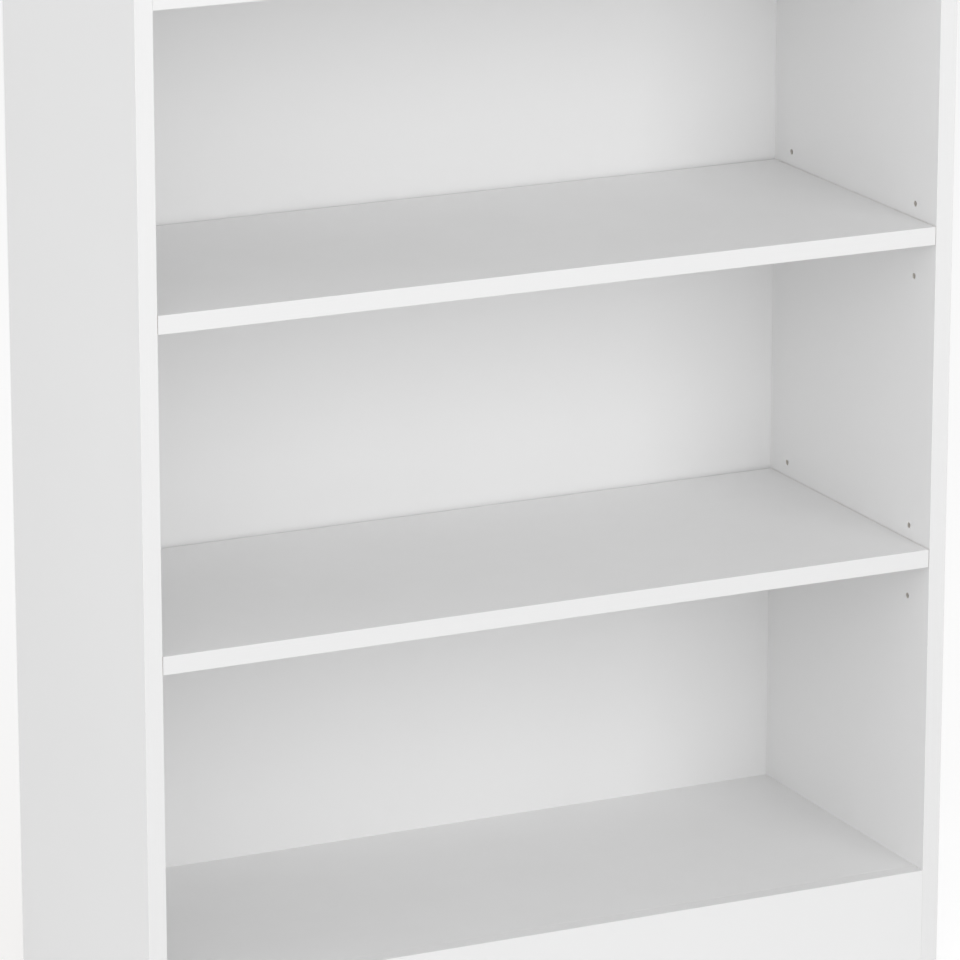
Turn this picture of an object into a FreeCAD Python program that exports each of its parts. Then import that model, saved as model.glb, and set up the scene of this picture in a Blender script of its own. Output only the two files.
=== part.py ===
"""Bookcase with two adjustable shelves, as a bench full of separate pieces.

Millimetres. +Z is up, the front faces -Y, and the origin is on the floor under the middle of the case.
Every size that can be set by itself is one cell of the sheet; whatever fits to it is bound by an expression.
"""

import FreeCAD, Part
import math
import os
import re

import Sketcher
from FreeCAD import Rotation, Vector

SIZES = {
    # the case
    "overall_width": 752,
    "overall_height": 945,
    "side_depth": 293,
    "board_thickness": 16,
    "bottom_top_height": 96,
    "lower_opening": 279,
    "middle_opening": 272,
    # edging strips and the back sheet
    "edging_thickness": 0.6,
    "edging_round": 0.4,
    "back_thickness": 3,
    "back_inset": 2,
    # room round an adjustable shelf
    "shelf_end_gap": 0.5,
    "shelf_setback": 0.5,
    "shelf_back_gap": 3,
    # shelf pins and their rows of holes
    "pin_diameter": 5,
    "pin_play": 0.05,
    "pin_hole_depth": 11,
    "peg_length": 10,
    "pin_pitch": 32,
    "pin_front_inset": 37,
    "pin_back_inset": 32,
    "pin_drop": 3.5,
    "peg_tip": 0.6,
    "collar_length": 1,
    "spade_reach": 9,
    "spade_width": 7,
    "spade_thickness": 2,
    "web_thickness": 1.6,
    "web_foot": 3,
    "web_tip": 0.4,
    # cam locks and their bolts
    "joint_play": 0.05,
    "bolt_inset": 50,
    "bolt_thread": 5,
    "bolt_thread_depth": 12,
    "bolt_thread_length": 11,
    "bolt_neck": 6,
    "bolt_collar": 7.6,
    "bolt_collar_length": 3,
    "bolt_head": 7,
    "bolt_head_length": 3,
    "bolt_end_gap": 0.5,
    "bolt_waist_length": 4,
    "bolt_waist": 4.4,
    "bolt_bore": 8,
    "cam_diameter": 15,
    "cam_depth": 12.5,
    "cam_length": 12,
    "cam_reach": 34,
    "cam_slot": 1.6,
    "cam_slot_length": 8,
    # wooden dowels
    "dowel_diameter": 8,
    "dowel_chamfer": 1,
    "dowel_end_gap": 1,
    "dowel_in_face": 10.5,
    "dowel_in_edge": 19.5,
    "dowel_offset": 32,
    "kick_dowel_low": 30,
    "kick_dowel_high": 66,
    "kick_dowel_side_inset": 90,
    # nails through the back sheet
    "nail_diameter": 1.6,
    "nail_head": 5,
    "nail_head_thickness": 0.8,
    "nail_length": 20,
    "nail_point": 2,
    "nail_tip": 0.2,
    "nail_end_inset": 40,
    # floor glides
    "glide_height": 3,
    "glide_diameter": 14,
    "glide_inset": 40,
    "glide_bevel": 1,
    "glide_nail": 2,
    "glide_nail_length": 14,
}

DERIVED = {
    "half_width": "overall_width / 2",
    "half_depth": "(side_depth + back_thickness) / 2",
    "inner_half": "half_width - board_thickness",
    "inner_width": "2 * inner_half",
    "front": "-half_depth",
    "back_front": "front + side_depth",
    "board_front": "front + edging_thickness",
    "top_underside": "overall_height - board_thickness",
    "bottom_underside": "bottom_top_height - board_thickness",
    "lower_underside": "bottom_top_height + lower_opening",
    "upper_underside": "lower_underside + board_thickness + middle_opening",
    "kick_back": "front + board_thickness",
    "shelf_length": "inner_width - 2 * shelf_end_gap",
    "shelf_front": "front + shelf_setback",
    "shelf_board_front": "shelf_front + edging_thickness",
    "shelf_depth": "back_front - shelf_back_gap - shelf_board_front",
    "pin_front": "front + pin_front_inset",
    "pin_back": "back_front - pin_back_inset",
    "bolt_front": "front + bolt_inset",
    "bolt_back": "back_front - bolt_inset",
    "dowel_front": "bolt_front + dowel_offset",
    "dowel_back": "bolt_back - dowel_offset",
    "top_axis": "top_underside + board_thickness / 2",
    "bottom_axis": "bottom_underside + board_thickness / 2",
    "kick_axis": "front + board_thickness / 2",
    "kick_side_dowel": "inner_half - kick_dowel_side_inset",
    "side_axis": "inner_half + board_thickness / 2",
    "back_half": "half_width - back_inset",
    "back_low": "bottom_underside + back_inset",
    "back_high": "overall_height - back_inset",
    "back_face": "half_depth",
    "cam_axis": "inner_half - cam_reach",
    "edge_dowel_depth": "dowel_in_edge + dowel_end_gap",
    "face_dowel_depth": "dowel_in_face + dowel_end_gap",
    "nail_hole": "nail_diameter + 2 * joint_play",
    "bolt_reach": "cam_reach - bolt_end_gap",
    "bolt_waist_start": "bolt_reach - bolt_head_length - bolt_waist_length",
    "peg_diameter": "pin_diameter - 2 * pin_play",
    "glide_front": "front + glide_inset",
    "glide_back": "back_front - glide_inset",
}

SPARE_ROWS = 1
SIDE_NAILS = 8
END_NAILS = 7
LEAST_CUT = 0.5
MOST_CUT = 1.001

doc = FreeCAD.newDocument("bookcase")
sheet = doc.addObject("Spreadsheet::Sheet", "sizes")
parts = []


def fill_sheet():
    for row, (word, value) in enumerate(SIZES.items(), start=1):
        sheet.set(f"A{row}", word)
        sheet.set(f"B{row}", str(value))
        sheet.setAlias(f"B{row}", word)
    doc.recompute()


def formula(text):
    """Write out the derived words of an expression in terms of the sheet's cells."""

    def spell(match):
        word = match.group(0)
        if word in DERIVED:
            return "(" + formula(DERIVED[word]) + ")"
        if word in SIZES:
            return "sizes." + word
        raise KeyError(word)

    return re.sub(r"[a-z_]{2,}", spell, str(text))


def bind(item, **properties):
    for name, text in properties.items():
        item.setExpression(name, formula(text))


def place(item, corner, rotation=None):
    """Bind an object's place to three expressions, with a fixed rotation if it has one."""
    if rotation:
        item.Placement = FreeCAD.Placement(Vector(), rotation)
    for axis, text in zip("xyz", corner):
        item.setExpression("Placement.Base." + axis, formula(text))


def keep(item, label):
    item.Label = label
    parts.append(item)
    return item


# Sketches


def new_sketch(body, name, role, offset="0"):
    sketch = body.newObject("Sketcher::SketchObject", name)
    plane = [f for f in body.Origin.OriginFeatures if f.Role == role][0]
    sketch.AttachmentSupport = [(plane, "")]
    sketch.MapMode = "FlatFace"
    sketch.setExpression("AttachmentOffset.Base.z", formula(offset))
    return sketch


def dimension(sketch, kind, name, text, *where):
    """Add a dimension and bind it to an expression."""
    index = sketch.addConstraint(Sketcher.Constraint(kind, *where, 1.0))
    sketch.renameConstraint(index, name)
    sketch.setExpression("Constraints." + name, formula(text))


def rectangle(sketch, width, height):
    """A rectangle from the sketch's origin, with its two sides bound."""
    corners = [Vector(0, 0, 0), Vector(1, 0, 0), Vector(1, 1, 0), Vector(0, 1, 0)]
    for index, corner in enumerate(corners):
        sketch.addGeometry(Part.LineSegment(corner, corners[(index + 1) % 4]), False)
    for index in range(4):
        sketch.addConstraint(Sketcher.Constraint("Coincident", index, 2, (index + 1) % 4, 1))
        sketch.addConstraint(Sketcher.Constraint("Vertical" if index % 2 else "Horizontal", index))
    sketch.addConstraint(Sketcher.Constraint("Coincident", 0, 1, -1, 1))
    dimension(sketch, "DistanceX", "across", width, 0, 1, 0, 2)
    dimension(sketch, "DistanceY", "along", height, 1, 1, 1, 2)


def circles(sketch, centres, diameter):
    """Equal circles, each centre bound to its own two expressions."""
    for index, centre in enumerate(centres):
        at = Vector(index + 1, index + 1, 0)
        sketch.addGeometry(Part.Circle(at, Vector(0, 0, 1), 1), False)
        dimension(sketch, "DistanceX", f"across{index}", centre[0], -1, 1, index, 3)
        dimension(sketch, "DistanceY", f"along{index}", centre[1], -1, 1, index, 3)
        if index:
            sketch.addConstraint(Sketcher.Constraint("Equal", 0, index))
    dimension(sketch, "Diameter", "bore", diameter, 0)


def pad(body, sketch, length):
    feature = body.newObject("PartDesign::Pad", sketch.Name + "_pad")
    feature.Profile = sketch
    bind(feature, Length=length)
    body.Tip = feature
    return feature


# Boards


class Board:
    """A rectangular board whose holes are given in the bookcase's own frame."""

    # face: plane, offset along its normal, first and second sketch axis, cut along the normal
    FACES = {
        "left": ("YZ_Plane", None, 1, 2, True),
        "right": ("YZ_Plane", "{0}", 1, 2, False),
        "front": ("XZ_Plane", None, 0, 2, False),
        "back": ("XZ_Plane", "-({1})", 0, 2, True),
        "bottom": ("XY_Plane", None, 0, 1, True),
        "top": ("XY_Plane", "{2}", 0, 1, False),
    }

    def __init__(self, label, corner, size):
        self.corner = corner
        self.size = size
        self.body = keep(doc.addObject("PartDesign::Body", label), label)
        sketch = new_sketch(self.body, label + "_outline", "XY_Plane")
        rectangle(sketch, size[0], size[1])
        pad(self.body, sketch, size[2])
        place(self.body, corner)
        doc.recompute()

    def drill(self, name, face, centres, diameter, depth):
        """Drill equal round holes into one face; centres are the two coordinates in that face."""
        role, offset, first, second, reverse = self.FACES[face]
        before = self.body.Shape.Volume
        shift = offset.format(*self.size) if offset else "0"
        sketch = new_sketch(self.body, name, role, shift)
        start = (self.corner[first], self.corner[second])
        local = [(f"{across} - ({start[0]})", f"{along} - ({start[1]})") for across, along in centres]
        circles(sketch, local, diameter)
        cut = self.body.newObject("PartDesign::Pocket", name + "_cut")
        cut.Profile = sketch
        cut.Reversed = reverse
        bind(cut, Length=depth)
        self.body.Tip = cut
        doc.recompute()
        radius = sketch.getDatum("bore").Value / 2
        whole = len(centres) * math.pi * radius**2 * cut.Length.Value
        share = (before - self.body.Shape.Volume) / whole
        if not LEAST_CUT < share < MOST_CUT:
            raise ValueError(f"{name} cuts away {share:.3f} of the holes' volume")


def strip_section(sketch):
    """A flat section with its two outer corners rounded; the outer face lies along the sketch's x axis."""
    thick, wide, turn = SIZES["edging_thickness"], SIZES["board_thickness"], SIZES["edging_round"]
    quarter = math.pi / 2

    def line(first, second):
        sketch.addGeometry(Part.LineSegment(Vector(*first, 0), Vector(*second, 0)), False)

    def corner(middle, start):
        ring = Part.Circle(Vector(middle, turn, 0), Vector(0, 0, 1), turn)
        sketch.addGeometry(Part.ArcOfCircle(ring, start, start + quarter), False)

    line((turn, 0), (wide - turn, 0))
    corner(wide - turn, -quarter)
    line((wide, turn), (wide, thick))
    line((wide, thick), (0, thick))
    line((0, thick), (0, turn))
    corner(turn, 2 * quarter)
    for first, kind in enumerate(("Tangent", "Tangent", "Coincident", "Coincident", "Tangent", "Tangent")):
        sketch.addConstraint(Sketcher.Constraint(kind, first, 2, (first + 1) % 6, 1))
    for index, kind in ((0, "Horizontal"), (3, "Horizontal"), (2, "Vertical"), (4, "Vertical")):
        sketch.addConstraint(Sketcher.Constraint(kind, index))
    sketch.addConstraint(Sketcher.Constraint("Equal", 1, 5))
    sketch.addConstraint(Sketcher.Constraint("PointOnObject", 3, 2, -2))
    sketch.addConstraint(Sketcher.Constraint("PointOnObject", 0, 1, -1))
    dimension(sketch, "Radius", "turn", "edging_round", 1)
    dimension(sketch, "DistanceX", "across", "board_thickness", 3, 2, 3, 1)
    dimension(sketch, "DistanceY", "along", "edging_thickness", 0, 2, 2, 2)


def edging_strip(name, length, corner, rotation=None):
    """A strip glued on a board's edge, drawn with its outer face at y = 0 and its length along +Z."""
    body = doc.addObject("PartDesign::Body", name)
    sketch = new_sketch(body, name + "_section", "XY_Plane")
    strip_section(sketch)
    pad(body, sketch, length)
    place(body, corner, rotation)
    return body


# Groups of like pieces


def copy_of(source, spot, rotation=None):
    link = doc.addObject("App::Link", source.Name + "_copy")
    link.LinkedObject = source
    place(link, spot, rotation)
    return link


def group(label, members):
    item = doc.addObject("Part::Compound", label)
    item.Links = members
    return keep(item, label)


def cylinder(name, diameter, length, spot=("0", "0", "0"), rotation=None):
    item = doc.addObject("Part::Cylinder", name)
    bind(item, Radius=f"({diameter}) / 2", Height=length)
    place(item, spot, rotation)
    return item


def box(name, size, spot):
    item = doc.addObject("Part::Box", name)
    bind(item, Length=size[0], Width=size[1], Height=size[2])
    place(item, spot)
    return item


def fuse(name, members):
    item = doc.addObject("Part::MultiFuse", name)
    item.Shapes = members
    return item


def cone(name, wide, narrow, length, spot, rotation=None):
    item = doc.addObject("Part::Cone", name)
    bind(item, Radius1=f"({wide}) / 2", Radius2=f"({narrow}) / 2", Height=length)
    place(item, spot, rotation)
    return item


def cut(name, base, tool):
    item = doc.addObject("Part::Cut", name)
    item.Base = base
    item.Tool = tool
    return item


LEFT, RIGHT = -1, 1
TO_RIGHT = Rotation(Vector(0, 1, 0), 90)
TO_LEFT = Rotation(Vector(0, 1, 0), -90)
TO_FRONT = Rotation(Vector(1, 0, 0), 90)
HALF_TURN = Rotation(Vector(0, 0, 1), 180)
FACE_TO_FRONT = Rotation(Vector(0, 0, 1), 90)
WEB_ALONG = Rotation(Vector(0, 0, 1), -90)
STRIP_ON_TOP = Rotation(Vector(1, 0, 0), -90)
STRIP_ACROSS = Rotation(Vector(0, 1, 0), -90)
STRIP_ON_KICK = Rotation(Vector(0, -1, 0), Vector(0, 0, -1), Vector(1, 0, 0), "XYZ")

BOLT_ROWS = ("bolt_front", "bolt_back")
GLIDE_ROWS = ("glide_front", "glide_back")
DOWEL_ROWS = ("dowel_front", "dowel_back")
JOINT_LEVELS = {"top": "top_axis", "bottom": "bottom_axis"}
SHELF_LEVELS = {"upper": "upper_underside", "lower": "lower_underside"}
PIN_COLUMNS = {"front": "pin_front", "back": "pin_back"}
STEPS = (-1, 0, 1)
KICK_DOWELS = ("kick_dowel_low", "kick_dowel_high")


def spread(low, high, count):
    """Expressions for evenly spaced places from low to high, both included."""
    return [f"{low} + (({high}) - ({low})) * {index} / {count - 1}" for index in range(count)]


SIDE_NAIL_LEVELS = spread("back_low + nail_end_inset", "back_high - nail_end_inset", SIDE_NAILS)
END_NAIL_PLACES = spread("nail_end_inset - inner_half", "inner_half - nail_end_inset", END_NAILS)


# The case


def side_panel(name, side):
    """A side board: shelf pin holes, cam bolt and dowel holes inside, nail holes behind and below."""
    left_face = "-half_width" if side == LEFT else "inner_half"
    inner_face = "right" if side == LEFT else "left"
    height = "overall_height - glide_height - edging_thickness"
    corner = (left_face, "board_front", "glide_height")
    board = Board(name, corner, ("board_thickness", "side_depth - edging_thickness", height))
    for shelf, underside in SHELF_LEVELS.items():
        rows = range(-SPARE_ROWS, SPARE_ROWS + 1)
        levels = [f"{underside} - pin_drop + ({row}) * pin_pitch" for row in rows]
        spots = [(column, level) for column in PIN_COLUMNS.values() for level in levels]
        board.drill(f"{name}_{shelf}_pin_holes", inner_face, spots, "pin_diameter", "pin_hole_depth")
    bolts = [(row, level) for row in BOLT_ROWS for level in JOINT_LEVELS.values()]
    board.drill(name + "_bolt_holes", inner_face, bolts, "bolt_thread", "bolt_thread_depth")
    dowels = [(row, level) for row in DOWEL_ROWS for level in JOINT_LEVELS.values()]
    dowels += [("kick_axis", level) for level in KICK_DOWELS]
    board.drill(name + "_dowel_holes", inner_face, dowels, "dowel_diameter", "face_dowel_depth")
    across = f"{side} * side_axis"
    nails = [(across, level) for level in SIDE_NAIL_LEVELS]
    board.drill(name + "_nail_holes", "back", nails, "nail_hole", "nail_length")
    glides = [(across, row) for row in GLIDE_ROWS]
    depth = "glide_nail_length + joint_play"
    board.drill(name + "_glide_holes", "bottom", glides, "glide_nail + 2 * joint_play", depth)
    side_edging(name, left_face)


def side_edging(name, left_face):
    """The strips on a side's front edge and, behind it, on its top end."""
    front_corner = (left_face, "front", "glide_height")
    front_strip = edging_strip(name + "_front_strip", "overall_height - glide_height", front_corner)
    top_corner = (left_face, "board_front", "overall_height")
    top_strip = edging_strip(name + "_top_strip", "side_depth - edging_thickness", top_corner, STRIP_ON_TOP)
    group(name.replace("panel", "edging"), [front_strip, top_strip])


def cross_board(name, where, board_front):
    """A board between the sides, held by cam locks and dowels in its ends and by nails behind."""
    underside = where + "_underside"
    axis = where + "_axis"
    corner = ("-inner_half", board_front, underside)
    board = Board(name, corner, ("inner_width", f"back_front - ({board_front})", "board_thickness"))
    bolts = [(row, axis) for row in BOLT_ROWS]
    dowels = [(row, axis) for row in DOWEL_ROWS]
    for end in ("left", "right"):
        board.drill(f"{name}_{end}_bolt_bores", end, bolts, "bolt_bore", "cam_reach")
        board.drill(f"{name}_{end}_dowel_holes", end, dowels, "dowel_diameter", "edge_dowel_depth")
    nails = [(place_x, axis) for place_x in END_NAIL_PLACES]
    board.drill(name + "_nail_holes", "back", nails, "nail_hole", "nail_length")
    return board


def cam_pockets(board, name):
    """Pockets for the cam housings, which the bolt bores run into."""
    spots = [(f"{side} * cam_axis", row) for side in (LEFT, RIGHT) for row in BOLT_ROWS]
    board.drill(name + "_cam_pockets", "bottom", spots, "cam_diameter", "cam_depth")


def top_panel():
    board = cross_board("top_panel", "top", "board_front")
    cam_pockets(board, "top_panel")
    start = ("inner_half", "front", "top_underside")
    strip = edging_strip("top_panel_strip", "inner_width", start, STRIP_ACROSS)
    group("top_panel_edging", [strip])


def bottom_shelf():
    board = cross_board("bottom_shelf", "bottom", "kick_back")
    dowels = [(f"{step} * kick_side_dowel", "bottom_axis") for step in STEPS]
    board.drill("bottom_shelf_kick_holes", "front", dowels, "dowel_diameter", "edge_dowel_depth")
    cam_pockets(board, "bottom_shelf")


def kick_plate():
    """The plinth board: its face is flush with the sides, and its top edge with the bottom shelf."""
    corner = ("-inner_half", "front", "glide_height")
    height = "bottom_top_height - edging_thickness - glide_height"
    board = Board("kick_plate", corner, ("inner_width", "board_thickness", height))
    ends = [("kick_axis", level) for level in KICK_DOWELS]
    for end in ("left", "right"):
        board.drill(f"kick_plate_{end}_holes", end, ends, "dowel_diameter", "edge_dowel_depth")
    faces = [(f"{step} * kick_side_dowel", "bottom_axis") for step in STEPS]
    board.drill("kick_plate_back_holes", "back", faces, "dowel_diameter", "face_dowel_depth")
    start = ("-inner_half", "kick_back", "bottom_top_height")
    strip = edging_strip("kick_plate_strip", "inner_width", start, STRIP_ON_KICK)
    group("kick_plate_edging", [strip])


def nail_spots():
    """Where a nail goes through the back sheet, as (x, z)."""
    sides = [(f"{side} * side_axis", level) for side in (LEFT, RIGHT) for level in SIDE_NAIL_LEVELS]
    ends = [(place_x, axis) for axis in JOINT_LEVELS.values() for place_x in END_NAIL_PLACES]
    return sides + ends


def back_panel():
    corner = ("-back_half", "back_front", "back_low")
    board = Board("back_panel", corner, ("2 * back_half", "back_thickness", "back_high - (back_low)"))
    spots = nail_spots()
    board.drill("back_panel_head_seats", "back", spots, "nail_head + 2 * joint_play", "nail_head_thickness")
    depth = "back_thickness - nail_head_thickness"
    board.drill("back_panel_nail_holes", "front", spots, "nail_hole", depth)


def adjustable_shelf(name):
    underside = SHELF_LEVELS[name]
    corner = ("-shelf_length / 2", "shelf_board_front", underside)
    Board(name + "_shelf", corner, ("shelf_length", "shelf_depth", "board_thickness"))
    start = ("shelf_length / 2", "shelf_front", underside)
    strip = edging_strip(name + "_shelf_strip", "shelf_length", start, STRIP_ACROSS)
    group(name + "_shelf_edging", [strip])


# Fittings


def shelf_pin():
    """A pin: peg, collar and a round-ended spade on a web. The peg points along -X from the origin."""
    stem = "peg_length - peg_tip"
    peg = cylinder("peg", "peg_diameter", stem, rotation=TO_LEFT)
    start = (f"-({stem})", "0", "0")
    tip = cone("peg_point", "peg_diameter", "peg_diameter - peg_tip", "peg_tip", start, TO_LEFT)
    collar = cylinder("pin_collar", "2 * pin_drop", "collar_length", rotation=TO_RIGHT)
    low = "pin_drop - spade_thickness"
    straight = "spade_reach - spade_width / 2"
    blade = box("pin_blade", (straight, "spade_width", "spade_thickness"), ("0", "-spade_width / 2", low))
    nose = cylinder("pin_nose", "spade_width", "spade_thickness", (straight, "0", low))
    web = doc.addObject("Part::Wedge", "pin_web")
    bind(web, Xmin="-web_thickness / 2", Xmax="web_thickness / 2")
    bind(web, X2min="-web_thickness / 2", X2max="web_thickness / 2")
    bind(web, Ymin="0", Ymax=straight)
    bind(web, Zmin="-web_foot", Zmax=low, Z2min=low + " - web_tip", Z2max=low)
    place(web, ("0", "0", "0"), WEB_ALONG)
    return fuse("shelf_pin", [peg, tip, collar, blade, nose, web])


def shelf_pins():
    shape = shelf_pin()
    for shelf, underside in SHELF_LEVELS.items():
        for side, turn in ((LEFT, None), (RIGHT, HALF_TURN)):
            for column, depth in PIN_COLUMNS.items():
                spot = (f"{side} * inner_half", depth, f"{underside} - pin_drop")
                hand = "left" if side == LEFT else "right"
                group(f"{shelf}_{hand}_{column}_pin", [copy_of(shape, spot, turn)])


def cam_lock():
    """A cam housing: a drum with a mouth for the bolt's head and a cross for the screwdriver."""
    drum = cylinder("cam_drum", "cam_diameter - 2 * joint_play", "cam_length")
    mouth = cylinder("cam_mouth", "bolt_bore", "cam_diameter", ("0", "0", "board_thickness / 2"), TO_LEFT)
    hollows = [mouth]
    for along, across in (("cam_slot_length", "cam_slot"), ("cam_slot", "cam_slot_length")):
        start = (f"-{along} / 2", f"-{across} / 2", "0")
        hollows.append(box("cam_cross", (along, across, "cam_slot"), start))
    return cut("cam_lock", drum, fuse("cam_hollows", hollows))


def cam_bolt():
    """A bolt that screws into a side and reaches into the cam. It points along +X from the side's face."""
    thread = cylinder("bolt_thread", "bolt_thread - 2 * joint_play", "bolt_thread_length", rotation=TO_LEFT)
    collar = cylinder("bolt_collar", "bolt_collar", "bolt_collar_length", rotation=TO_RIGHT)
    shank = cylinder("bolt_shank", "bolt_neck", "bolt_waist_start", rotation=TO_RIGHT)
    waist = cylinder("bolt_waist", "bolt_waist", "bolt_reach", rotation=TO_RIGHT)
    start = ("bolt_reach - bolt_head_length", "0", "0")
    knob = cylinder("bolt_knob", "bolt_head", "bolt_head_length", start, TO_RIGHT)
    return fuse("cam_bolt", [thread, collar, shank, waist, knob])


def dowel():
    """A dowel with chamfered ends. It points along +X from the joint's face."""
    thick = "dowel_diameter - 2 * joint_play"
    thin = thick + " - 2 * dowel_chamfer"
    ends = ("dowel_in_face - dowel_chamfer", "dowel_in_edge - dowel_chamfer")
    face_part = cylinder("dowel_face_part", thick, ends[0], rotation=TO_LEFT)
    edge_part = cylinder("dowel_edge_part", thick, ends[1], rotation=TO_RIGHT)
    face_end = cone("dowel_face_end", thick, thin, "dowel_chamfer", (f"-({ends[0]})", "0", "0"), TO_LEFT)
    edge_end = cone("dowel_edge_end", thick, thin, "dowel_chamfer", (ends[1], "0", "0"), TO_RIGHT)
    return fuse("dowel", [face_part, edge_part, face_end, edge_end])


def both_sides(shape, across, rows, level):
    """One copy for each row on each side; those on the right are turned round."""
    copies = []
    for side, turn in ((LEFT, None), (RIGHT, HALF_TURN)):
        copies += [copy_of(shape, (f"{side} * {across}", row, level), turn) for row in rows]
    return copies


def case_fittings():
    lock = cam_lock()
    bolt = cam_bolt()
    peg = dowel()
    for where, axis in JOINT_LEVELS.items():
        group(where + "_cam_locks", both_sides(lock, "cam_axis", BOLT_ROWS, where + "_underside"))
        group(where + "_cam_bolts", both_sides(bolt, "inner_half", BOLT_ROWS, axis))
        group(where + "_dowels", both_sides(peg, "inner_half", DOWEL_ROWS, axis))
    ends = []
    for level in KICK_DOWELS:
        ends += both_sides(peg, "inner_half", ["kick_axis"], level)
    group("kick_end_dowels", ends)
    fronts = [(f"{step} * kick_side_dowel", "kick_back", "bottom_axis") for step in STEPS]
    group("kick_front_dowels", [copy_of(peg, spot, FACE_TO_FRONT) for spot in fronts])


def back_nails():
    """Nails driven until their heads lie in the back sheet's face. The shape points along +Z."""
    stem = "nail_length - nail_point"
    head = cylinder("nail_head", "nail_head", "nail_head_thickness")
    shank = cylinder("nail_shank", "nail_diameter", stem)
    point = cone("nail_point", "nail_diameter", "nail_tip", "nail_point", ("0", "0", stem))
    nail = fuse("nail", [head, shank, point])
    copies = [copy_of(nail, (across, "back_face", level), TO_FRONT) for across, level in nail_spots()]
    group("back_nails", copies)


def floor_glides():
    """Plastic glides with a moulded-in nail, two under each side."""
    sole = "glide_diameter - 2 * glide_bevel"
    foot = cone("glide_foot", sole, "glide_diameter", "glide_bevel", ("0", "0", "0"))
    disc = cylinder("glide_disc", "glide_diameter", "glide_height - glide_bevel", ("0", "0", "glide_bevel"))
    nail = cylinder("glide_nail", "glide_nail", "glide_height + glide_nail_length")
    glide = fuse("glide", [foot, disc, nail])
    spots = [(f"{side} * side_axis", row, "0") for side in (LEFT, RIGHT) for row in GLIDE_ROWS]
    group("floor_glides", [copy_of(glide, spot) for spot in spots])


def check_and_write():
    doc.recompute()
    for item in doc.Objects:
        if "Invalid" in item.State or "Error" in item.State:
            raise ValueError(f"{item.Label} failed: {item.State}")
    for item in parts:
        if item.Shape.isNull() or not item.Shape.isValid():
            raise ValueError(f"{item.Label} has no valid shape")
    os.makedirs("parts", exist_ok=True)
    for item in parts:
        item.Shape.exportStep(f"parts/{item.Label}.step")
        print(f"{item.Label}: {len(item.Shape.Solids)} solid(s), {item.Shape.Volume / 1000:.2f} cm3")


def main():
    fill_sheet()
    side_panel("left_side_panel", LEFT)
    side_panel("right_side_panel", RIGHT)
    top_panel()
    bottom_shelf()
    kick_plate()
    back_panel()
    for name in SHELF_LEVELS:
        adjustable_shelf(name)
    shelf_pins()
    case_fittings()
    back_nails()
    floor_glides()
    check_and_write()


main()
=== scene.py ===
"""Looks for a white flat-pack bookcase: finishes for its boards, back sheet and fittings, and its stage."""

import math

import bpy
from mathutils import Matrix, Vector

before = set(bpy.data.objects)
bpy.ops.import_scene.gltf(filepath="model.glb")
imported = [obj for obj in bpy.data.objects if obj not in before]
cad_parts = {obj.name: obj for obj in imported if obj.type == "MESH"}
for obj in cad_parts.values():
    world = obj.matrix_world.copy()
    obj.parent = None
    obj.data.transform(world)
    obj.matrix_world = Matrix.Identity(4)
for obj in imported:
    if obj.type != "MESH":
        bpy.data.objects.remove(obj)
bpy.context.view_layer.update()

bl_info = {
    "name": "White Bookcase",
    "version": (1, 0, 0),
    "blender": (4, 5, 0),
    "location": "View3D > Sidebar > Bookcase",
    "description": "Finishes a laminated bookcase with adjustable shelves and sets its stage",
    "category": "Object",
}

LEFT, RIGHT, FRONT, REAR, UNDER, OVER = ((axis, sign) for axis in range(3) for sign in (-1, 1))
BOARD_SKINS = {
    "left_side_panel": (LEFT, RIGHT, FRONT),
    "right_side_panel": (LEFT, RIGHT, FRONT),
    "top_panel": (UNDER, OVER, FRONT),
    "bottom_shelf": (UNDER, OVER, FRONT),
    "kick_plate": (FRONT, REAR, OVER),
    "upper_shelf": (UNDER, OVER, FRONT, REAR),
    "lower_shelf": (UNDER, OVER, FRONT, REAR),
}
# A polygon is on a side of its board if it lies this near to it and faces out this squarely
SKIN_DEPTH = 0.0002
STRAIGHT = 0.99
# The three ways that a strip or a dowel may run, which are inputs of the grain
WIDE, DEEP, HIGH = "wide", "deep", "high"
# How far the outline of a chip wanders
WAVER = 0.001
# Dust, and where the lamps stand
DUST = (0.62, 0.61, 0.59)
FRONT_LAMP = (0.9, -4.6, 2.2)
QUARTER_LAMP = (-3.2, -3.8, 1.8)
SIDE_LAMP = (-4.8, -1.0, 1.8)


# Settings


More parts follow.
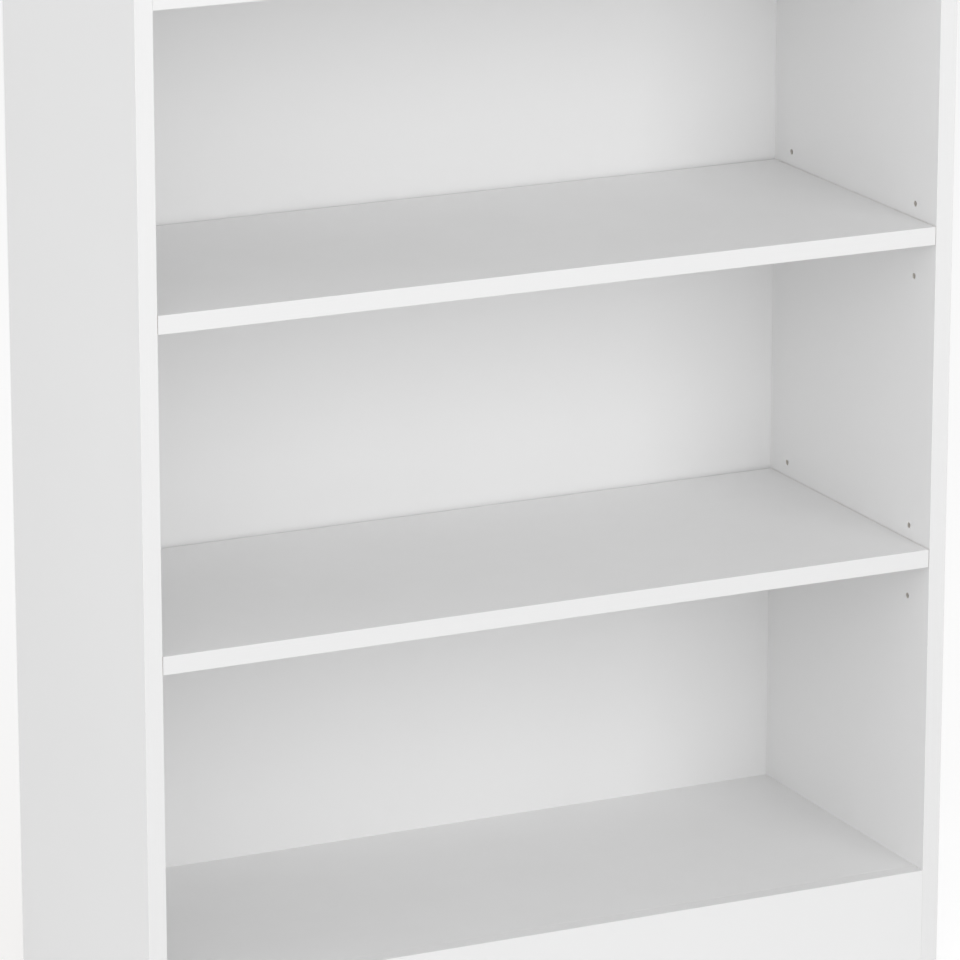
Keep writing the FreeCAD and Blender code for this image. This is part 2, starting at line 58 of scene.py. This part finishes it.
class FinishSettings(bpy.types.PropertyGroup):
    """Colours and surface detail of the finishes."""

    laminate_colour: bpy.props.FloatVectorProperty(
        name="Laminate colour", description="White of the melamine faces",
        subtype="COLOR", size=3, default=(0.88, 0.88, 0.88), min=0, max=1,
    )
    edging_colour: bpy.props.FloatVectorProperty(
        name="Edging colour", description="White of the strips on the front edges",
        subtype="COLOR", size=3, default=(0.86, 0.86, 0.86), min=0, max=1,
    )
    back_colour: bpy.props.FloatVectorProperty(
        name="Back sheet colour", description="White paint on the front of the back sheet",
        subtype="COLOR", size=3, default=(0.89, 0.89, 0.89), min=0, max=1,
    )
    fibre_colour: bpy.props.FloatVectorProperty(
        name="Hardboard colour", description="Bare brown rear of the back sheet",
        subtype="COLOR", size=3, default=(0.30, 0.185, 0.10), min=0, max=1,
    )
    chip_light: bpy.props.FloatVectorProperty(
        name="Light chips", description="Pale chips in a raw board edge",
        subtype="COLOR", size=3, default=(0.70, 0.54, 0.37), min=0, max=1,
    )
    # The dark chips' colour also gives the painted shade in the voids of a raw edge
    chip_dark: bpy.props.FloatVectorProperty(
        name="Dark chips", description="Dark chips and voids in a raw board edge",
        subtype="COLOR", size=3, default=(0.40, 0.27, 0.155), min=0, max=1,
    )
    bore_colour: bpy.props.FloatVectorProperty(
        name="Bore colour", description="Pale drilling dust in the bores of the boards",
        subtype="COLOR", size=3, default=(0.80, 0.77, 0.72), min=0, max=1,
    )
    wood_light: bpy.props.FloatVectorProperty(
        name="Dowel colour", description="Pale beech between the grain lines",
        subtype="COLOR", size=3, default=(0.66, 0.47, 0.29), min=0, max=1,
    )
    wood_dark: bpy.props.FloatVectorProperty(
        name="Dowel grain", description="Grain lines of the beech",
        subtype="COLOR", size=3, default=(0.45, 0.28, 0.15), min=0, max=1,
    )
    steel_colour: bpy.props.FloatVectorProperty(
        name="Steel colour", description="Bright zinc plating on pins, bolts and nails",
        subtype="COLOR", size=3, default=(0.66, 0.67, 0.69), min=0, max=1,
    )
    zinc_colour: bpy.props.FloatVectorProperty(
        name="Zinc colour", description="Die-cast zinc of the cam locks",
        subtype="COLOR", size=3, default=(0.50, 0.51, 0.53), min=0, max=1,
    )
    glide_colour: bpy.props.FloatVectorProperty(
        name="Glide colour", description="Moulded plastic of the floor glides",
        subtype="COLOR", size=3, default=(0.76, 0.76, 0.74), min=0, max=1,
    )
    peel_size: bpy.props.FloatProperty(
        name="Peel size", description="Width of one dimple in the melamine's fine orange-peel",
        unit="LENGTH", default=0.0011, min=0.0001, max=0.01,
    )
    chip_size: bpy.props.FloatProperty(
        name="Chip size", description="Width of a chip in a raw board edge",
        unit="LENGTH", default=0.0013, min=0.0002, max=0.01,
    )
    screen_pitch: bpy.props.FloatProperty(
        name="Screen pitch", description="Pitch of the mesh that the press left in the hardboard's rear",
        unit="LENGTH", default=0.0014, min=0.0003, max=0.01,
    )


class StageSettings(bpy.types.PropertyGroup):
    """Camera, light and floor."""

    view_turn: bpy.props.FloatProperty(
        name="View turn", description="How far the camera stands to the left of straight ahead",
        subtype="ANGLE", default=math.radians(25.454),
    )
    view_rise: bpy.props.FloatProperty(
        name="View rise", description="How far the camera looks down",
        subtype="ANGLE", default=math.radians(15.866),
    )
    view_distance: bpy.props.FloatProperty(
        name="View distance", description="From the camera to the point it looks at",
        unit="LENGTH", default=5.1434, min=0.5,
    )
    aim_across: bpy.props.FloatProperty(
        name="Aim across", description="Where the camera looks, from the middle of the case",
        unit="LENGTH", default=-0.0019,
    )
    aim_height: bpy.props.FloatProperty(
        name="Aim height", description="Height of the point that the camera looks at",
        unit="LENGTH", default=0.4602,
    )
    lens: bpy.props.FloatProperty(
        name="Lens", description="Focal length on a 36 mm sensor", default=223.86, min=10,
    )
    dome: bpy.props.FloatProperty(
        name="Dome light", description="Strength of the even light from all round", default=0.53, min=0,
    )
    front_power: bpy.props.FloatProperty(
        name="Front light", description="Power of the soft light in front",
        unit="POWER", default=74, min=0,
    )
    quarter_power: bpy.props.FloatProperty(
        name="Quarter light", description="Power of the soft light at the front left corner",
        unit="POWER", default=37, min=0,
    )
    side_power: bpy.props.FloatProperty(
        name="Side light", description="Power of the soft light at the left",
        unit="POWER", default=44, min=0,
    )
    lamp_size: bpy.props.FloatProperty(
        name="Lamp size", description="Side of each square soft light", unit="LENGTH", default=3.0, min=0.1,
    )
    floor_size: bpy.props.FloatProperty(
        name="Floor size", description="Side of the square floor", unit="LENGTH", default=60, min=2,
    )
    floor_colour: bpy.props.FloatVectorProperty(
        name="Floor colour", description="Pale floor", subtype="COLOR", size=3,
        default=(0.82, 0.82, 0.82), min=0, max=1,
    )
    floor_lift: bpy.props.FloatProperty(
        name="Floor lift", description="Glow that brings the lit floor up to white for the camera",
        default=0.45, min=0, max=1,
    )


# Node helpers


def put(tree, kind, inputs=None, **settings):
    """Add a node; an input is given as a value or as another node's output socket."""
    item = tree.nodes.new(kind)
    for name, value in settings.items():
        setattr(item, name, value)
    for name, value in (inputs or {}).items():
        if isinstance(value, bpy.types.NodeSocket):
            tree.links.new(value, item.inputs[name])
        else:
            item.inputs[name].default_value = value
    return item


def maths(tree, operation, first, second=0.0):
    return put(tree, "ShaderNodeMath", {0: first, 1: second}, operation=operation).outputs[0]


def blend_colours(tree, factor, first, second):
    item = put(tree, "ShaderNodeMix", {"Factor": factor}, data_type="RGBA")
    for index, colour in ((6, first), (7, second)):
        if isinstance(colour, bpy.types.NodeSocket):
            tree.links.new(colour, item.inputs[index])
        else:
            item.inputs[index].default_value = (*colour, 1)
    return item.outputs[2]


def ramp(tree, value, low, high, to_low=0.0, to_high=1.0):
    """Map low..high to to_low..to_high, clamped."""
    inputs = {"Value": value, "From Min": low, "From Max": high, "To Min": to_low, "To Max": to_high}
    return put(tree, "ShaderNodeMapRange", inputs).outputs["Result"]


def new_group(name, inputs, outputs):
    """An empty node group with named float inputs and outputs, and its two end nodes."""
    tree = bpy.data.node_groups.new(name, "ShaderNodeTree")
    for label, value in inputs.items():
        socket = tree.interface.new_socket(label, in_out="INPUT", socket_type="NodeSocketFloat")
        socket.default_value = value
    for label in outputs:
        tree.interface.new_socket(label, in_out="OUTPUT", socket_type="NodeSocketFloat")
    return tree, tree.nodes.new("NodeGroupInput").outputs, tree.nodes.new("NodeGroupOutput").inputs


def use_group(tree, name, **inputs):
    """Place a shared group in a tree."""
    item = tree.nodes.new("ShaderNodeGroup")
    item.node_tree = bpy.data.node_groups[name]
    for label, value in inputs.items():
        socket = item.inputs[label.capitalize()]
        if isinstance(value, bpy.types.NodeSocket):
            tree.links.new(value, socket)
        else:
            socket.default_value = value
    return item.outputs


def object_place(tree):
    return tree.nodes.new("ShaderNodeTexCoord").outputs["Object"]


def noise(tree, place, scale, detail=2.0, rough=0.5):
    inputs = {"Vector": place, "Scale": scale, "Detail": detail, "Roughness": rough}
    return put(tree, "ShaderNodeTexNoise", inputs).outputs["Fac"]


# Shared effects


def peel_group():
    """Fine orange-peel of a pressed melamine face, with a slow drift of tone over the sheet."""
    tree, given, result = new_group("Pressed peel", {"Dimple": 0.001, "Drift": 3.0}, ("Height", "Tone"))
    place = object_place(tree)
    fine = noise(tree, place, maths(tree, "DIVIDE", 1.0, given["Dimple"]), 3.0, 0.55)
    tree.links.new(fine, result["Height"])
    tree.links.new(ramp(tree, noise(tree, place, given["Drift"], 4.0), 0.3, 0.7), result["Tone"])


def smudge_group():
    """Roughness with faint wiped patches."""
    defaults = {"Low": 0.3, "High": 0.4, "Patch": 9.0}
    tree, given, result = new_group("Wiped patches", defaults, ("Roughness",))
    patches = noise(tree, object_place(tree), given["Patch"], 5.0, 0.6)
    tree.links.new(ramp(tree, patches, 0.25, 0.75, given["Low"], given["High"]), result["Roughness"])


def dust_group():
    """A light dust that lies only on faces looking up."""
    tree, given, result = new_group("Resting dust", {"Amount": 0.1, "Patch": 14.0}, ("Mask",))
    facing_way = tree.nodes.new("ShaderNodeNewGeometry").outputs["Normal"]
    up = put(tree, "ShaderNodeSeparateXYZ", {"Vector": facing_way}).outputs["Z"]
    lying = ramp(tree, up, 0.6, 0.95)
    patches = ramp(tree, noise(tree, object_place(tree), given["Patch"], 6.0, 0.65), 0.35, 0.7)
    settled = maths(tree, "MULTIPLY", lying, patches)
    tree.links.new(maths(tree, "MULTIPLY", settled, given["Amount"]), result["Mask"])


def grain_group():
    """Fine streaks: noise with its own scale across, into and up the case, and the least along them."""
    scales = {"Wide": 20.0, "Deep": 900.0, "High": 900.0}
    tree, given, result = new_group("Long grain", scales, ("Streak", "Height"))
    axes = put(tree, "ShaderNodeSeparateXYZ", {"Vector": object_place(tree)}).outputs
    stretched = put(tree, "ShaderNodeCombineXYZ", {
        "X": maths(tree, "MULTIPLY", axes["X"], given["Wide"]),
        "Y": maths(tree, "MULTIPLY", axes["Y"], given["Deep"]),
        "Z": maths(tree, "MULTIPLY", axes["Z"], given["High"]),
    }).outputs[0]
    streak = noise(tree, stretched, 1.0, 4.0, 0.6)
    tree.links.new(ramp(tree, streak, 0.35, 0.65), result["Streak"])
    tree.links.new(streak, result["Height"])


def build_groups():
    for build in (peel_group, smudge_group, dust_group, grain_group):
        build()


# Materials


def new_material(name):
    """A material with a Principled shader, and its node tree."""
    material = bpy.data.materials.new(name)
    material.use_nodes = True
    return material, material.node_tree, material.node_tree.nodes["Principled BSDF"].inputs


def long_grain(tree, run, along, across):
    """The streaks of a piece that runs WIDE, DEEP or HIGH."""
    scales = dict.fromkeys((WIDE, DEEP, HIGH), across)
    scales[run] = along
    return use_group(tree, "Long grain", **scales)


def bump(tree, height, strength, distance):
    inputs = {"Height": height, "Strength": strength, "Distance": distance}
    return put(tree, "ShaderNodeBump", inputs).outputs["Normal"]


def shade(colour, share):
    return tuple(channel * share for channel in colour)


def white_face(name, colour, peel, low, high, relief):
    """A white sheet face: tone drift, fine peel, wiped patches and a trace of dust on top."""
    material, tree, shader = new_material(name)
    skin = use_group(tree, "Pressed peel", dimple=peel, drift=2.3)
    plain = blend_colours(tree, skin["Tone"], shade(colour, 0.988), shade(colour, 1.008))
    dust = use_group(tree, "Resting dust", amount=0.05)["Mask"]
    tree.links.new(blend_colours(tree, dust, plain, DUST), shader["Base Color"])
    tree.links.new(use_group(tree, "Wiped patches", low=low, high=high)["Roughness"], shader["Roughness"])
    tree.links.new(bump(tree, skin["Height"], relief, 0.0001), shader["Normal"])
    shader["Specular IOR Level"].default_value = 0.45
    return material


def edging_material(settings, name, run):
    """Smooth strip: very fine drawn lines along it, a little glossier than the faces."""
    material, tree, shader = new_material(name)
    lines = long_grain(tree, run, 6.0, 1600.0)
    colour = tuple(settings.edging_colour)
    tree.links.new(blend_colours(tree, lines["Streak"], shade(colour, 0.985), colour), shader["Base Color"])
    tree.links.new(use_group(tree, "Wiped patches", low=0.29, high=0.37)["Roughness"], shader["Roughness"])
    tree.links.new(bump(tree, lines["Height"], 0.12, 0.00005), shader["Normal"])
    return material


def chipboard_material(settings):
    """Raw board edge: flat chips of several tones, fine fibres, voids sunk in the bump and darkened with
    painted shade, and a rough sawn face.
    """
    material, tree, shader = new_material("Raw chipboard")
    place = object_place(tree)
    scale = 1.0 / settings.chip_size
    wander = {"Vector": place, "Scale": scale, "Detail": 3.0}
    waver = put(tree, "ShaderNodeTexNoise", wander).outputs["Color"]
    bend = {0: waver, 1: (WAVER, WAVER, WAVER), 2: place}
    crooked = put(tree, "ShaderNodeVectorMath", bend, operation="MULTIPLY_ADD").outputs[0]
    chips = put(tree, "ShaderNodeTexVoronoi", {"Vector": crooked, "Scale": scale})
    tone = put(tree, "ShaderNodeSeparateColor", {"Color": chips.outputs["Color"]}).outputs[0]
    fibres = noise(tree, place, scale * 2.5, 6.0, 0.75)
    mixed = maths(tree, "ADD", maths(tree, "MULTIPLY", tone, 0.5), maths(tree, "MULTIPLY", fibres, 0.5))
    dark, light = tuple(settings.chip_dark), tuple(settings.chip_light)
    colour = blend_colours(tree, ramp(tree, mixed, 0.2, 0.7), dark, light)
    # The voids sink in the bump and are painted far darker than the chips: painted shade in the recesses of
    # the raw edge
    void_relief_and_painted_shade = ramp(tree, noise(tree, place, scale * 0.6, 4.0, 0.6), 0.62, 0.7)
    tree.links.new(blend_colours(tree, void_relief_and_painted_shade, colour, shade(dark, 0.4)), shader["Base Color"])
    shader["Roughness"].default_value = 0.9
    tree.links.new(bump(tree, maths(tree, "SUBTRACT", mixed, void_relief_and_painted_shade), 0.7, 0.0004), shader["Normal"])
    return material


def bore_material(settings):
    """A drilled bore: chips smoothed by the drill, under pale dust."""
    material, tree, shader = new_material("Drilled bore")
    chips = noise(tree, object_place(tree), 1.0 / settings.chip_size, 4.0, 0.6)
    dust = tuple(settings.bore_colour)
    tree.links.new(
        blend_colours(tree, ramp(tree, chips, 0.35, 0.65), shade(dust, 0.86), dust), shader["Base Color"]
    )
    shader["Roughness"].default_value = 0.9
    tree.links.new(bump(tree, chips, 0.4, 0.0002), shader["Normal"])
    return material


def hardboard_material(settings):
    """Bare rear of the back sheet: brown fibres under the pattern of the press's wire screen, with its pits
    darkened as painted shade.
    """
    material, tree, shader = new_material("Bare hardboard")
    place = object_place(tree)
    turns = 2 * math.pi / settings.screen_pitch
    axes = put(tree, "ShaderNodeSeparateXYZ", {"Vector": place}).outputs
    waves = [maths(tree, "SINE", maths(tree, "MULTIPLY", axes[axis], turns)) for axis in ("X", "Z")]
    screen = ramp(tree, maths(tree, "MULTIPLY", *waves), -1.0, 1.0)
    fibres = noise(tree, place, 700.0, 6.0, 0.75)
    clouds = noise(tree, place, 7.0, 5.0, 0.6)
    tone = maths(tree, "ADD", maths(tree, "MULTIPLY", fibres, 0.75), maths(tree, "MULTIPLY", clouds, 0.25))
    colour = tuple(settings.fibre_colour)
    brown = blend_colours(tree, ramp(tree, tone, 0.3, 0.7), shade(colour, 0.72), shade(colour, 1.25))
    # The screen's pits, low in the bump, are painted darker: painted shade in the recesses of the bare rear
    painted_pit_shade = ramp(tree, screen, 0.0, 0.5, 0.3, 0.0)
    tree.links.new(blend_colours(tree, painted_pit_shade, brown, shade(colour, 0.6)), shader["Base Color"])
    shader["Roughness"].default_value = 0.82
    height = maths(tree, "ADD", screen, maths(tree, "MULTIPLY", fibres, 0.6))
    tree.links.new(bump(tree, height, 0.8, 0.0003), shader["Normal"])
    return material


def metal_material(name, colour, low, high, relief, grain):
    """Plated or cast metal: uneven roughness and a fine grain."""
    material, tree, shader = new_material(name)
    fine = noise(tree, object_place(tree), grain, 4.0, 0.6)
    bright = blend_colours(tree, ramp(tree, fine, 0.3, 0.7), shade(colour, 0.85), colour)
    tree.links.new(bright, shader["Base Color"])
    shader["Metallic"].default_value = 1.0
    worn = use_group(tree, "Wiped patches", low=low, high=high, patch=260.0)
    tree.links.new(worn["Roughness"], shader["Roughness"])
    tree.links.new(bump(tree, fine, relief, 0.00005), shader["Normal"])
    return material


def beech_material(settings, name, run):
    """Bare turned wood with its grain along the dowel."""
    material, tree, shader = new_material(name)
    grain = long_grain(tree, run, 60.0, 1500.0)
    colours = (tuple(settings.wood_dark), tuple(settings.wood_light))
    tree.links.new(blend_colours(tree, grain["Streak"], *colours), shader["Base Color"])
    shader["Roughness"].default_value = 0.7
    tree.links.new(bump(tree, grain["Height"], 0.3, 0.0001), shader["Normal"])
    return material


def glide_material(settings):
    """Moulded plastic with a fine spark-eroded grain."""
    material, tree, shader = new_material("Moulded plastic")
    grain = noise(tree, object_place(tree), 2600.0, 3.0, 0.6)
    colour = tuple(settings.glide_colour)
    tree.links.new(blend_colours(tree, grain, shade(colour, 0.96), colour), shader["Base Color"])
    worn = use_group(tree, "Wiped patches", low=0.42, high=0.56, patch=120.0)
    tree.links.new(worn["Roughness"], shader["Roughness"])
    tree.links.new(bump(tree, grain, 0.25, 0.00008), shader["Normal"])
    return material


# Giving finishes to the pieces


def give(node, *materials):
    """Put materials in a node's slots, the first one everywhere."""
    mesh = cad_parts[node].data
    mesh.materials.clear()
    for material in materials:
        mesh.materials.append(material)
    for polygon in mesh.polygons:
        polygon.material_index = 0
    return mesh


def side_of(polygon, low, high):
    """The axis and sign of the side of a board that a polygon lies on, or None inside a bore."""
    for axis in range(3):
        for sign, level in ((-1, low[axis]), (1, high[axis])):
            faces_out = polygon.normal[axis] * sign > STRAIGHT
            if faces_out and abs(polygon.center[axis] - level) < SKIN_DEPTH:
                return axis, sign
    return None


def finish_board(node, skins, laminate, raw, bore):
    """Laminate on the named sides of a board, raw edges on its other sides and dust in its bores."""
    mesh = give(node, laminate, raw, bore)
    low = [min(vertex.co[axis] for vertex in mesh.vertices) for axis in range(3)]
    high = [max(vertex.co[axis] for vertex in mesh.vertices) for axis in range(3)]
    for polygon in mesh.polygons:
        side = side_of(polygon, low, high)
        if side is None:
            polygon.material_index = 2
        elif side not in skins:
            polygon.material_index = 1


class BOOKCASE_OT_boards(bpy.types.Operator):
    """Give the boards white laminate faces and raw chipboard edges"""

    bl_idname = "bookcase.boards"
    bl_label = "Finish Boards"

    def execute(self, context):
        settings = context.scene.bookcase_finish
        white = tuple(settings.laminate_colour)
        laminate = white_face("White laminate", white, settings.peel_size, 0.34, 0.46, 0.22)
        finishes = (laminate, chipboard_material(settings), bore_material(settings))
        for node, skins in BOARD_SKINS.items():
            finish_board(node, skins, *finishes)
        return {"FINISHED"}


class BOOKCASE_OT_edging(bpy.types.Operator):
    """Give the edging strips their smooth white"""

    bl_idname = "bookcase.edging"
    bl_label = "Finish Edging"

    def execute(self, context):
        settings = context.scene.bookcase_finish
        level = edging_material(settings, "White edging", WIDE)
        upright = edging_material(settings, "White upright edging", HIGH)
        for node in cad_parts:
            if node.endswith("_side_edging"):
                give(node, upright)
            elif node.endswith("_edging"):
                give(node, level)
        return {"FINISHED"}


class BOOKCASE_OT_back_sheet(bpy.types.Operator):
    """Paint the front of the back sheet and leave its rear bare"""

    bl_idname = "bookcase.back_sheet"
    bl_label = "Finish Back Sheet"

    def execute(self, context):
        settings = context.scene.bookcase_finish
        paint = white_face("Painted hardboard", tuple(settings.back_colour), 0.0018, 0.42, 0.55, 0.12)
        bare = hardboard_material(settings)
        finish_board("back_panel", (FRONT,), paint, bare, bare)
        return {"FINISHED"}


class BOOKCASE_OT_metalwork(bpy.types.Operator):
    """Finish the shelf pins, bolts and nails in plated steel and the cam locks in cast zinc"""

    bl_idname = "bookcase.metalwork"
    bl_label = "Finish Metalwork"

    def execute(self, context):
        settings = context.scene.bookcase_finish
        steel = metal_material("Plated steel", tuple(settings.steel_colour), 0.28, 0.38, 0.15, 1800.0)
        zinc = metal_material("Cast zinc", tuple(settings.zinc_colour), 0.42, 0.6, 0.4, 1400.0)
        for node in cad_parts:
            if node.endswith(("_pin", "_cam_bolts", "_nails")):
                give(node, steel)
            if node.endswith("_cam_locks"):
                give(node, zinc)
        return {"FINISHED"}


class BOOKCASE_OT_dowels(bpy.types.Operator):
    """Give the dowels bare beech"""

    bl_idname = "bookcase.dowels"
    bl_label = "Finish Dowels"

    def execute(self, context):
        settings = context.scene.bookcase_finish
        across = beech_material(settings, "Bare beech", WIDE)
        into = beech_material(settings, "Bare beech front to back", DEEP)
        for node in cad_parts:
            if node == "kick_front_dowels":
                give(node, into)
            elif node.endswith("_dowels"):
                give(node, across)
        return {"FINISHED"}


class BOOKCASE_OT_glides(bpy.types.Operator):
    """Give the floor glides moulded plastic"""

    bl_idname = "bookcase.glides"
    bl_label = "Finish Glides"

    def execute(self, context):
        give("floor_glides", glide_material(context.scene.bookcase_finish))
        return {"FINISHED"}


# Stage


def facing(place, target):
    """A matrix at place whose -Z looks at the target, with +Y up."""
    turn = (target - place).to_track_quat("-Z", "Y")
    return Matrix.Translation(place) @ turn.to_matrix().to_4x4()


def add_camera(stage):
    camera = bpy.data.cameras.new("Camera")
    camera.sensor_width = 36
    camera.lens = stage.lens
    item = bpy.data.objects.new("Camera", camera)
    bpy.context.scene.collection.objects.link(item)
    aim = Vector((stage.aim_across, 0, stage.aim_height))
    level = math.cos(stage.view_rise)
    away = Vector((
        -math.sin(stage.view_turn) * level,
        -math.cos(stage.view_turn) * level,
        math.sin(stage.view_rise),
    ))
    item.matrix_world = facing(aim + away * stage.view_distance, aim)
    bpy.context.scene.camera = item


def add_lamps(stage):
    """Three large soft lights: in front, at the front left corner and at the left."""
    lamps = (
        ("Front light", stage.front_power, FRONT_LAMP),
        ("Quarter light", stage.quarter_power, QUARTER_LAMP),
        ("Side light", stage.side_power, SIDE_LAMP),
    )
    for name, power, place in lamps:
        lamp = bpy.data.lights.new(name, "AREA")
        lamp.size = stage.lamp_size
        lamp.energy = power
        item = bpy.data.objects.new(name, lamp)
        bpy.context.scene.collection.objects.link(item)
        item.matrix_world = facing(Vector(place), Vector((0, 0, stage.aim_height)))


def seen_directly(tree):
    """1 for a ray that shows the background itself: from the camera, or off a gloss, or through glass."""
    path = tree.nodes.new("ShaderNodeLightPath").outputs
    either = maths(tree, "MAXIMUM", path["Is Camera Ray"], path["Is Glossy Ray"])
    return maths(tree, "MAXIMUM", either, path["Is Transmission Ray"])


def build_world(stage):
    world = bpy.data.worlds.new("Studio")
    bpy.context.scene.world = world
    world.use_nodes = True
    tree = world.node_tree
    sky = tree.nodes["Background"].inputs
    sky["Color"].default_value = (1, 1, 1, 1)
    tree.links.new(ramp(tree, seen_directly(tree), 0.0, 1.0, stage.dome, 1.0), sky["Strength"])


def add_floor(stage):
    half = stage.floor_size / 2
    mesh = bpy.data.meshes.new("Floor")
    corners = [(-half, -half, 0), (half, -half, 0), (half, half, 0), (-half, half, 0)]
    mesh.from_pydata(corners, [], [(0, 1, 2, 3)])
    item = bpy.data.objects.new("Floor", mesh)
    bpy.context.scene.collection.objects.link(item)
    material, tree, shader = new_material("Pale floor")
    shader["Base Color"].default_value = (*stage.floor_colour, 1)
    shader["Roughness"].default_value = 0.9
    shader["Specular IOR Level"].default_value = 0.1
    shader["Emission Color"].default_value = (1, 1, 1, 1)
    lift = maths(tree, "MULTIPLY", seen_directly(tree), stage.floor_lift)
    tree.links.new(lift, shader["Emission Strength"])
    mesh.materials.append(material)


class BOOKCASE_OT_stage(bpy.types.Operator):
    """Set the camera, the soft light and the pale floor"""

    bl_idname = "bookcase.stage"
    bl_label = "Set Stage"

    def execute(self, context):
        stage = context.scene.bookcase_stage
        add_camera(stage)
        add_lamps(stage)
        build_world(stage)
        add_floor(stage)
        context.scene.view_settings.view_transform = "Standard"
        return {"FINISHED"}


class BOOKCASE_PT_panel(bpy.types.Panel):
    """Buttons for every step, in the 3D view's sidebar"""

    bl_idname = "BOOKCASE_PT_panel"
    bl_label = "White Bookcase"
    bl_space_type = "VIEW_3D"
    bl_region_type = "UI"
    bl_category = "Bookcase"

    def draw(self, context):
        for operator in OPERATORS:
            self.layout.operator(operator.bl_idname)


OPERATORS = (
    BOOKCASE_OT_stage,
    BOOKCASE_OT_boards,
    BOOKCASE_OT_edging,
    BOOKCASE_OT_back_sheet,
    BOOKCASE_OT_metalwork,
    BOOKCASE_OT_dowels,
    BOOKCASE_OT_glides,
)
CLASSES = (FinishSettings, StageSettings, *OPERATORS, BOOKCASE_PT_panel)


def register():
    for item in CLASSES:
        bpy.utils.register_class(item)
    bpy.types.Scene.bookcase_finish = bpy.props.PointerProperty(type=FinishSettings)
    bpy.types.Scene.bookcase_stage = bpy.props.PointerProperty(type=StageSettings)


def unregister():
    del bpy.types.Scene.bookcase_stage
    del bpy.types.Scene.bookcase_finish
    for item in reversed(CLASSES):
        bpy.utils.unregister_class(item)


def main():
    register()
    build_groups()
    for operator in OPERATORS:
        family, name = operator.bl_idname.split(".")
        getattr(getattr(bpy.ops, family), name)()


if __name__ == "__main__":
    main()
